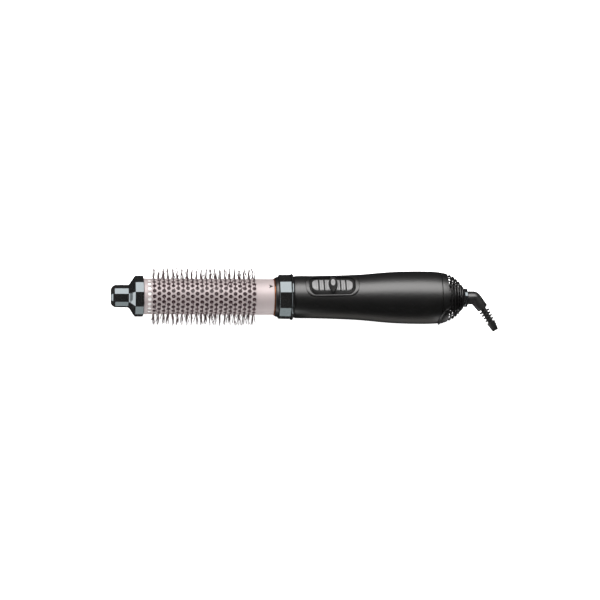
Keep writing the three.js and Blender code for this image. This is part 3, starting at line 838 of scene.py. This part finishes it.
def plate_reach(dx):
    """Half the plate's width at dx from its middle."""
    into = abs(dx) - (PLATE_HALF[0] - PLATE_CORNER)
    if into <= 0:
        return PLATE_HALF[1]
    return PLATE_HALF[1] - PLATE_CORNER + math.sqrt(max(PLATE_CORNER ** 2 - into ** 2, 0))


def plate_height(dx, y):
    """Top of the plate: crowned, dropping towards its ends, with grooves across it."""
    z = plate_skin(dx, y) - 0.0012 * dx * dx
    for place, half_width, depth in GROOVES:
        away = abs(abs(dx) - place) / half_width
        if away < 1:
            z -= depth * math.cos(away * math.pi / 2) ** 0.7
    return z


def plate_skins(along, across):
    """Points of the plate's top and underside, with the edges of the top turned down."""
    dx = PLATE_HALF[0] * (2 * along - 1)
    reach = plate_reach(dx)
    y = reach * math.sin((2 * across - 1) * math.pi / 2)
    edge = max(0, abs(y) / reach - 0.93) / 0.07
    end = max(0, abs(dx) - PLATE_HALF[0] + 0.5) / 0.5
    z = plate_height(dx, y) - 0.35 * max(edge, end) ** 2
    return (SWITCH_X + dx, y, z), (SWITCH_X + dx, y, PLATE_TOP - 2.6)


def switch_plate():
    """The grey sliding plate, finely divided along its length for the grooves."""
    piece("switch_slider_plate_fine", between_skins(240, 16, plate_skins), "switch_slider_plate", sharp=50)


def switch_carrier():
    """The black part under the grey plate, and the post. Its skirt spreads out over the pocket floor in the
    dull inside finish: painted shade over the floor.
    """
    levels = [
        (PLATE_HALF, -0.2, -0.1, PLATE_CORNER, plate_skin, -0.8),
        (PLATE_HALF, 0.0, 0.15, PLATE_CORNER, plate_skin, -0.8),
        # these wide loops lay the skirt over the pocket floor, where it paints the floor's shade
        (PLATE_HALF, 0.04, 2.7, PLATE_CORNER, pocket_floor, 0.7),
        (PLATE_HALF, 0.04, 2.9, PLATE_CORNER, pocket_floor, 0.2),
    ]
    skirt = lofted([switch_loop(*level) for level in levels])
    post_r = 1.6
    post = lofted([[(SWITCH_X + post_r * px, post_r * py, z) for px, py in circle_section(32)]
                   for z in (15, 17.2)])
    piece("switch_carrier", joined(skirt, post), "switch_slider_plate", slot="inside_plastic",
          stands_for=[], sharp=40)


def eye_reach(y):
    """Half the thumb ridge's width at y: two arcs that meet in points, the points rounded."""
    half_x, half_y = RIDGE_HALF
    radius = (half_x ** 2 + half_y ** 2) / (2 * half_x)
    return max(math.sqrt(radius ** 2 - y * y) - radius + half_x, 0.12)


def ridge_height(u, y):
    """Top of the thumb ridge: rims that bend down at the ends, and a hollow steepest at its +Y end."""
    end_drop, end_power = (1.5, 3) if y > 0 else (0.9, 6)
    rim = RIDGE_TOP - end_drop * (abs(y) / RIDGE_HALF[1]) ** end_power
    depth, deepest_y = 1.6, -0.8
    reach = 5.4 if y > deepest_y else 6.8
    away = min(abs(y - deepest_y) / reach, 1)
    hollow = depth * math.cos(away * math.pi / 2) ** 2 * max(0, 1 - (abs(u) / 0.84) ** 3)
    shoulder = 0.8 * max(0, (abs(u) - 0.84) / 0.16) ** 2
    return rim - hollow - shoulder


def ridge_skins(across, along):
    """Points of the ridge's top and underside, which sits a little into the plate."""
    y = RIDGE_HALF[1] * (2 * across - 1)
    u = 2 * along - 1
    x = RIDGE_X + eye_reach(y) * u
    top = ridge_height(u, y)
    return (x, y, top), (x, y, min(plate_skin(x, y) - 0.3, top - 0.35))


def thumb_ridge():
    """The black eye-shaped ridge across the plate."""
    piece("switch_thumb_ridge_fine", between_skins(64, 28, ridge_skins), "switch_thumb_ridge",
          slot="inside_plastic", sharp=50)


def painted_ridge_highlight():
    """A grey oval in the ridge's hollow, nearer its +Y end: a painted highlight in place of the key light's
    reflection in the dish.
    """
    half_x, half_y, middle_y = 1.9, 2.9, 1.3
    rings, around = 6, 40
    rows = []
    for k in range(rings + 1):
        share = max(1 - k / rings, 0.02)
        row = []
        for i in range(around):
            a = 2 * math.pi * i / around
            x, y = half_x * share * math.cos(a), middle_y + half_y * share * math.sin(a)
            lift = 0.16 if k else 0.06
            row.append((RIDGE_X + x, y, ridge_height(x / eye_reach(y), y) + lift))
        rows.append(row)
    foot = [(x, y, z - 0.3) for x, y, z in rows[0]]
    shape = lofted([foot, *rows])
    # the grey finish paints the reflection of the key light; the ridge around it stays matt black
    piece("painted_ridge_highlight", shape, "switch_thumb_ridge", slot="grey_plastic", stands_for=[], sharp=60)


# ---- air inlet ----
CAP_BAND_END = 298.0
CAP_END = 312.8
CAP_TIPS = [(291.8, 22.45), (293, 22.3), (296, 21.8), (298.5, 21.0), (301, 20.1), (304, 18.5),
            (306.5, 16.5), (309, 14.0), (311.2, 11.4), (CAP_END, 9.2)]
RIB_COUNT = 28
RIB_HALF = 1.6  # degrees
RING_PITCH = 3.45
RING_WIDTH = 1.05
RING_PROUD = 1.1
CAP_WALL = 1.5


def cap_point(distance, depth, degrees):
    """A point at a distance along the cap's outline, at a depth under it."""
    for (xa, ra), (xb, rb) in zip(CAP_CURVE, CAP_CURVE[1:]):
        length = math.hypot(xb - xa, rb - ra)
        if distance <= length or (xb, rb) == CAP_CURVE[-1]:
            t = distance / length
            x, r = xa + t * (xb - xa), ra + t * (rb - ra)
            return polar(x - depth * (ra - rb) / length, r - depth * (xb - xa) / length, degrees)
        distance -= length


def cap_length(until):
    return sum(math.dist(a, b) for a, b in zip(CAP_CURVE, CAP_CURVE[1:]) if b[0] <= until + 1e-6)


def cap_stations():
    """(distance, depth of the outer skin, is open after here) along the cap's outline."""
    total = cap_length(CAP_END)
    at = cap_length(CAP_BAND_END)
    stations = [(0, 0.3, False), (0.2, 0, False), (at / 2, 0, False), (at - 0.1, 0, False)]
    while at + RING_PITCH < total - 0.6:
        opening_end = at + RING_PITCH - RING_WIDTH
        stations += [(at, 0.3, False), (at + 0.02, RING_PROUD, True), (opening_end, RING_PROUD, False),
                     (opening_end + 0.02, 0.3, False), (opening_end + 0.25, 0, False)]
        at += RING_PITCH
        stations.append((at - 0.25, 0, False))
    stations += [(total - 0.3, 0, False), (total, 0.3, False)]
    return stations


def cap_angles():
    """(degrees, is a rib after here) round the cap."""
    pitch, gap_steps = 360 / RIB_COUNT, 3
    angles = []
    for k in range(RIB_COUNT):
        start = k * pitch - RIB_HALF
        angles.append((start, True))
        for i in range(gap_steps):
            angles.append((start + 2 * RIB_HALF + (pitch - 2 * RIB_HALF) * i / gap_steps, False))
    return angles


def cap_is_solid(stations, angles, i, j):
    """Whether the patch of the cap after station i and angle j has no opening."""
    if not 0 <= i < len(stations) - 1:
        return False
    return not stations[i][2] or angles[j % len(angles)][1]


def inlet_cap():
    """The domed cap: rings that stand proud, ribs between them, and rectangular openings through it."""
    stations, angles = cap_stations(), cap_angles()
    n = len(angles)
    verts = [cap_point(distance, depth, angle) for distance, depth, _ in stations for angle, _ in angles]
    inside = len(verts)
    verts += [cap_point(distance, CAP_WALL, angle) for distance, _, _ in stations for angle, _ in angles]
    faces = []
    for i in range(len(stations)):
        for j in range(n):
            a, b = i * n + j, i * n + (j + 1) % n
            solid = cap_is_solid(stations, angles, i, j)
            if solid:
                c, d = a + n, b + n
                faces.append([a, b, d, c])
                faces.append([inside + c, inside + d, inside + b, inside + a])
            if solid != cap_is_solid(stations, angles, i - 1, j):
                faces.append([a, b, inside + b, inside + a])
            if i < len(stations) - 1 and solid != cap_is_solid(stations, angles, i, j - 1):
                faces.append([a, a + n, inside + a + n, inside + a])
    return verts, faces


TONGUE_MIDDLE = 106  # degrees from +Z
TONGUE_HALF = 44
TONGUE_FRONT = 288.9
TONGUE_BACK = 298.2
TONGUE_SWEEP = 6.6  # how much further back the front edge is at the tongue's ends
TONGUE_R = 22.75
TONGUE_RIB_PITCH = 1.35


def tongue_front(share):
    """Where a tongue starts, at a share from -1 to 1 of its width."""
    return TONGUE_FRONT + TONGUE_SWEEP * abs(share) ** 2


def tongue_skins(side, across, along):
    """Points of a grip tongue's outside and inside. The ribs follow its curved, lipped front edge."""
    share = 2 * across - 1
    first = tongue_front(share)
    angle = side * (TONGUE_MIDDLE + share * TONGUE_HALF)
    x = first + (TONGUE_BACK - first) * along
    edge = max(min(1, (1 - abs(share)) / 0.03, (x - first) / 0.3), 0)
    rib = 0.5 - 0.5 * math.cos(2 * math.pi * (x - first) / TONGUE_RIB_PITCH)
    behind = max(0, x - 290)
    skin = TONGUE_R - 0.11 * behind - 0.02 * behind ** 2
    lip = 1.1 * max(0, 1 - abs(x - first - 0.8) / 0.8) * (1 - share ** 2)
    r = skin + 0.7 * rib * edge ** 0.5 + lip
    return polar(x, r, angle), polar(x, 20.6 if x < 291 else 20.0, angle)


def rear_grille():
    """The inlet cap with a tongue on each side."""
    tongues = [between_skins(90, 90, tongue_skins, side) for side in (1, -1)]
    piece("rear_grille_fine", joined(inlet_cap(), *tongues), "rear_grille", sharp=35)


def inlet_basket():
    """A dark cone behind the openings. Near the silhouette the openings can still be seen through."""
    shape = soft_turned([(295.2, 12.0), (303, 10.9, 1), (308, 9.2, 1), (309.4, 8.4), (309.0, 8.0),
                         (307.6, 8.8, 1), (302.8, 10.4, 1), (295.2, 11.5)])
    piece("inlet_basket", shape, "rear_grille", slot="soft_black", stands_for=[])


# ---- cord swivel ----
ELBOW_START = 313.2
BEND_START = 322.0
BEND_R = 2.5
LEG_ANGLE = math.radians(51)
STRAIN_ANGLE = math.radians(59.5)
ELBOW_ROLL = math.radians(-54)
LEG_LENGTH = 10.8
STRAIN_LENGTH = 22.4
FIN_COUNT = 4
PIPE_R = 5.9
CORE_R = 2.5  # between the fins


def elbow_loop(x, z, angle, r):
    """A circle square to the elbow's route at a place on it, rolled to where the leg points at rest."""
    loop = []
    for s, c in circle_section(56):
        px, py, pz = x + r * c * math.sin(angle), r * s, z + r * c * math.cos(angle)
        loop.append((px, py * math.cos(ELBOW_ROLL) - pz * math.sin(ELBOW_ROLL),
                     py * math.sin(ELBOW_ROLL) + pz * math.cos(ELBOW_ROLL)))
    return loop


def loops_along(x, z, angle, outline):
    """Circles along a straight stretch of the elbow's route, from (distance, radius) points."""
    loops = []
    for along, r in outline:
        loops.append(elbow_loop(x + along * math.cos(angle), z - along * math.sin(angle), angle, r))
    return loops


def relief_outline():
    """(distance, radius) points of the finned strain relief and its open sleeve."""
    outline = [(0.25, CORE_R)]
    for i in range(FIN_COUNT):
        start, r = 2.4 + 2.8 * i, 4.7 - 0.22 * i
        outline += [(start - 0.15, CORE_R), (start, CORE_R + 0.2), (start, r - 0.25), (start + 0.22, r),
                    (start + 1.0, r), (start + 1.25, r - 0.25), (start + 1.25, CORE_R + 0.2),
                    (start + 1.4, CORE_R)]
    return outline + [(13.65, CORE_R), (13.8, CORE_R + 0.2), (13.8, 3.6), (14.05, 3.9),
                      (STRAIN_LENGTH - 0.5, 2.85), (STRAIN_LENGTH, 2.5), (STRAIN_LENGTH, 1.9),
                      (STRAIN_LENGTH - 7, 1.9)]


def cord_elbow():
    """The flange, the bent pipe and the strain relief, as one loft along the route."""
    rows = loops_along(ELBOW_START, 0, 0, [
        (0, 7.0), (0.15, 7.5), (0.5, 7.95), (0.9, 8.1), (2.3, 8.1), (2.75, 7.95), (3.1, 7.6), (3.25, 7.1),
        (3.25, 6.25), (3.45, 5.98), (3.9, PIPE_R), (8.8, PIPE_R)])
    bend_steps = 14
    for i in range(1, bend_steps + 1):
        angle = LEG_ANGLE * i / bend_steps
        rows.append(elbow_loop(BEND_START + BEND_R * math.sin(angle), -BEND_R * (1 - math.cos(angle)),
                               angle, PIPE_R - 0.4 * i / bend_steps))
    leg_x = BEND_START + BEND_R * math.sin(LEG_ANGLE)
    leg_z = -BEND_R * (1 - math.cos(LEG_ANGLE))
    leg = [(5.0, 5.25), (10.0, 4.95), (10.55, 4.8), (LEG_LENGTH, 4.45)]
    rows += loops_along(leg_x, leg_z, LEG_ANGLE, leg)
    end_x = leg_x + LEG_LENGTH * math.cos(LEG_ANGLE)
    end_z = leg_z - LEG_LENGTH * math.sin(LEG_ANGLE)
    rows += loops_along(end_x, end_z, STRAIN_ANGLE, relief_outline())
    piece("cord_elbow_fine", lofted(rows), "cord_elbow", sharp=38)


def swivel_collar():
    """A polished band round the elbow's flange."""
    shape = soft_turned([(313.75, 7.6), (313.75, 8.16, 0.15), (316.05, 8.16, 0.15), (316.05, 7.6)])
    piece("swivel_collar", shape, "cord_elbow", slot="gloss_black", stands_for=[])


def swivel_inside():
    """The hub that turns with the elbow and the bush that it turns in."""
    turned_piece("swivel_hub", [
        (299, 2.2, 0.2), (299, 8, 0.3), (301.5, 8, 0.3), (301.5, 5.6), (312.9, 5.6, 0.2), (312.9, 2.2, 0.2)])
    turned_piece("swivel_bush", [
        (302, 6.1, 0.2), (302, 7.5, 0.2), (312.6, 7.5, 0.4), (312.6, 6.1, 0.2)])


# ---- inside the handle ----
def turned_insides():
    """The plain turned pieces inside the handle, smooth and with softened edges."""
    turned_piece("outlet_spigot", [
        (136, 11.9, 0.2), (136, 12.8, 0.4), (158.6, 12.8), (158.6, 16.5, 0.2), (160.6, 16.5, 0.2),
        (160.6, 15.6), (168, 15.6, 0.4), (168, 11.9, 0.2)])
    turned_piece("heater_sleeve", [(150, 11), (150, 11.5, 0.1), (228, 11.5, 0.1), (228, 11)])
    turned_piece("motor_can", [
        (252, 1.4), (252, 12, 1.2), (282, 12, 0.5), (282, 1.4)])
    turned_piece("motor_end_cap", [(282.3, 1.4), (282.3, 11.6, 0.3), (285.8, 11.6, 1.0), (285.8, 1.4, 0.2)])
    turned_piece("motor_damper", [
        (256, 12.3, 0.1), (256, 13.1, 0.3), (276, 13.1, 0.3), (276, 12.3, 0.1)])
    turned_piece("motor_shaft", [(238, 0), (238, 1, 0.3), (284, 1, 0.3), (284, 0)])
    inlet_basket()
    turned_piece("dust_filter", [(294.2, 5), (294.2, 19.4, 0.2), (295, 19.4, 0.2), (295, 5)])


BLADE_COUNT = 7
FAN_MIDDLE = 244.5


def heater_coil():
    """A resistance wire, itself a fine spiral, wound round the mica cross."""
    turns, fine_turns, start, end = 6, 150, 158, 223
    coil_r, fine_r, wire_r = 8.8, 0.42, 0.14
    steps = fine_turns * 8
    centres = []
    for i in range(steps + 1):
        t = i / steps
        fine = 2 * math.pi * fine_turns * t
        x = start + (end - start) * t + fine_r * math.sin(fine)
        centres.append(Vector(polar(x, coil_r + fine_r * math.cos(fine), 90 - 360 * turns * t)))
    rows = []
    for i, centre in enumerate(centres):
        ahead = (centres[min(i + 1, steps)] - centres[max(i - 1, 0)]).normalized()
        side = ahead.cross(Vector((1, 0, 0))).normalized()
        other = ahead.cross(side)
        rows.append([tuple(centre + wire_r * (side * c + other * s))
                     for c, s in ((1, 0), (0, 1), (-1, 0), (0, -1))])
    piece("heater_coil_fine", lofted(rows), "heater_coil", sharp=80)


def blade_skins(blade, outwards, along):
    """Points of the two sides of a fan blade, which is twisted, bellied and thin at its edges."""
    r = 5.6 + 10.9 * outwards
    twist = math.tan(math.radians(46 - 16 * outwards))
    dx = 8.0 * (along - 0.5)
    s = dx * twist + 0.5 * (1 - (2 * along - 1) ** 2)
    half = 0.45 * (0.35 + 0.65 * math.sin(math.pi * (0.1 + 0.8 * along)))
    middle = 360 * blade / BLADE_COUNT
    upper, lower = [polar(FAN_MIDDLE + dx, r, middle + math.degrees((s + shift) / max(r, 8)))
                    for shift in (half, -half)]
    return upper, lower


def fan():
    """Twisted blades on a domed hub."""
    hub = soft_turned([(240, 1.3, 0.2), (240, 4.2, 1.5), (242, 6, 1.5), (249, 6, 0.3), (249, 1.3, 0.2)])
    blades = [between_skins(14, 10, blade_skins, blade) for blade in range(BLADE_COUNT)]
    piece("fan_fine", joined(hub, *blades), "fan", sharp=40)


def kept_frame_nodes():
    """CAD nodes that still show get their slot's finish."""
    for name, node in frame["nodes"].items():
        node.data.materials.clear()
        node.data.materials.append(FINISHES[SLOT_OF[name]])


# ---- camera, floor and light ----
VIEW_DIRECTION = Vector((-0.1045, -0.585, 0.805)).normalized()  # from the brush towards the camera
VIEW_ROLL = math.radians(0.27)
VIEW_DISTANCE = 2.8
FRAME_WIDTH_AT_AXIS = 0.5304
VIEW_MIDDLE_X = 167.1
VIEW_DROP = 2.6  # the picture's middle is this far below the axis


def camera():
    """A long lens, above and in front of the brush."""
    right = (Vector((1, 0, 0)) - VIEW_DIRECTION.x * VIEW_DIRECTION).normalized()
    up = VIEW_DIRECTION.cross(right)
    rolled_right = right * math.cos(VIEW_ROLL) + up * math.sin(VIEW_ROLL)
    rolled_up = up * math.cos(VIEW_ROLL) - right * math.sin(VIEW_ROLL)
    middle = Vector((VIEW_MIDDLE_X, 0, 0)) * MM - rolled_up * VIEW_DROP * MM
    data = bpy.data.cameras.new("camera")
    data.sensor_width = 36
    data.lens = data.sensor_width * VIEW_DISTANCE / FRAME_WIDTH_AT_AXIS
    data.clip_end = 50
    made = bpy.data.objects.new("camera", data)
    turn = Matrix((rolled_right, rolled_up, VIEW_DIRECTION)).transposed().to_4x4()
    made.matrix_world = Matrix.Translation(middle + VIEW_DIRECTION * VIEW_DISTANCE) @ turn
    bpy.context.scene.collection.objects.link(made)
    bpy.context.scene.camera = made


FLOOR_Z = -32


def floor():
    """A plain white floor, just under the lowest place that the cord elbow reaches as it turns."""
    half = 9000
    corners = [Vector((x * half, y * half, FLOOR_Z)) * MM for x, y in ((-1, -1), (1, -1), (1, 1), (-1, 1))]
    mesh = bpy.data.meshes.new("floor")
    mesh.from_pydata(corners, [], [(0, 1, 2, 3)])
    finish = Finish("floor_paint", (0.82, 0.82, 0.82), 0.9)
    finish.vary_roughness(20, 0.85, 0.95)
    finish.set("Emission Color", (1, 1, 1, 1))
    finish.set("Emission Strength", 1.05)
    mesh.materials.append(finish.material)
    made = bpy.data.objects.new("floor", mesh)
    made.visible_glossy = False  # the gloss black facets mirror dim surroundings, not the floor
    bpy.context.scene.collection.objects.link(made)


def softbox(name, place, aim, size, radiance, color=(1, 1, 1)):
    """An area light, placed in millimetres, that the camera doesn't see."""
    data = bpy.data.lights.new(name, "AREA")
    data.shape = "RECTANGLE"
    data.size, data.size_y = size[0] * MM, size[1] * MM
    data.energy = radiance * math.pi * data.size * data.size_y
    data.color = color
    made = bpy.data.objects.new(name, data)
    direction = Vector(aim) - Vector(place)
    away = -direction.normalized()
    along = (Vector((1, 0, 0)) - away.x * away).normalized() if abs(away.x) < 0.9 else Vector((0, 1, 0))
    made.matrix_world = (Matrix.Translation(Vector(place) * MM)
                         @ Matrix((along, away.cross(along), away)).transposed().to_4x4())
    made.visible_camera = False
    bpy.context.scene.collection.objects.link(made)
    return made


CARDS = (  # just over the floor, facing up: name, (x, y) of the middle, (length, width), radiance, color
    ("tip_card", (24, -71), (70, 40), 1.9, (0.95, 1.0, 0.99)),
    ("collar_card", (157, -76), (38, 34), 1.9, (0.95, 1.0, 0.99)),
    ("barrel_card", (94, -73), (86, 40), 2.4, (1, 1, 1)),
    ("tongue_card", (308, -44), (26, 36), 1.3, (1, 1, 1)),
    ("handle_card", (235, -40), (120, 30), 0.45, (1.0, 0.96, 0.91)),
)


def lights():
    """A broad key above and behind, a soft fill that only matt surfaces take up, and low cards in front."""
    middle = (165, 0, 0)
    softbox("key", (165, 232, 973), middle, (1600, 860), 5.2, (1.0, 0.985, 0.975))
    fill = softbox("fill", (40, -700, 960), middle, (700, 700), 2.0)
    fill.visible_glossy = False
    for name, (x, y), size, radiance, color in CARDS:
        softbox(name, (x, y, FLOOR_Z + 0.6), (x, y, 100), size, radiance, color)


def world():
    """Dim surroundings, a soft bright side at the nose, and white where the camera sees past the floor."""
    made = bpy.data.worlds.new("studio")
    made.use_nodes = True
    bpy.context.scene.world = made
    nodes, links = made.node_tree.nodes, made.node_tree.links
    background = nodes["Background"]
    background.inputs["Color"].default_value = (1, 1, 1, 1)
    place = nodes.new("ShaderNodeTexCoord")
    parts = nodes.new("ShaderNodeSeparateXYZ")
    links.new(place.outputs["Generated"], parts.inputs["Vector"])
    side = nodes.new("ShaderNodeMapRange")
    side.interpolation_type = "SMOOTHSTEP"
    for socket, value in (("From Min", -0.88), ("From Max", -0.94), ("To Min", 0.02), ("To Max", 4.0)):
        side.inputs[socket].default_value = value
    links.new(parts.outputs["X"], side.inputs["Value"])
    path = nodes.new("ShaderNodeLightPath")
    strength = nodes.new("ShaderNodeMix")
    strength.data_type = "FLOAT"
    strength.inputs["B"].default_value = 1.0
    links.new(path.outputs["Is Camera Ray"], strength.inputs["Factor"])
    links.new(side.outputs["Result"], strength.inputs["A"])
    links.new(strength.outputs["Result"], background.inputs["Strength"])


HANDLE_CURVE = smooth_through(HANDLE_OUTLINE, 66)
CAP_CURVE = smooth_through(CAP_TIPS, 61)

camera()
floor()
lights()
world()
bpy.context.scene.view_settings.view_transform = "Standard"

cool_tip()
barrel()
lock_arrow()
for strip_index in range(STRIP_COUNT):
    bristle_strip(strip_index)
head_inside()
lock_collar()
handle_shells()
handle_screws()
switch_bezel()
switch_pocket_painted_shade()
switch_plate()
switch_carrier()
thumb_ridge()
painted_ridge_highlight()
rear_grille()
cord_elbow()
swivel_collar()
swivel_inside()
turned_insides()
heater_coil()
fan()
kept_frame_nodes()
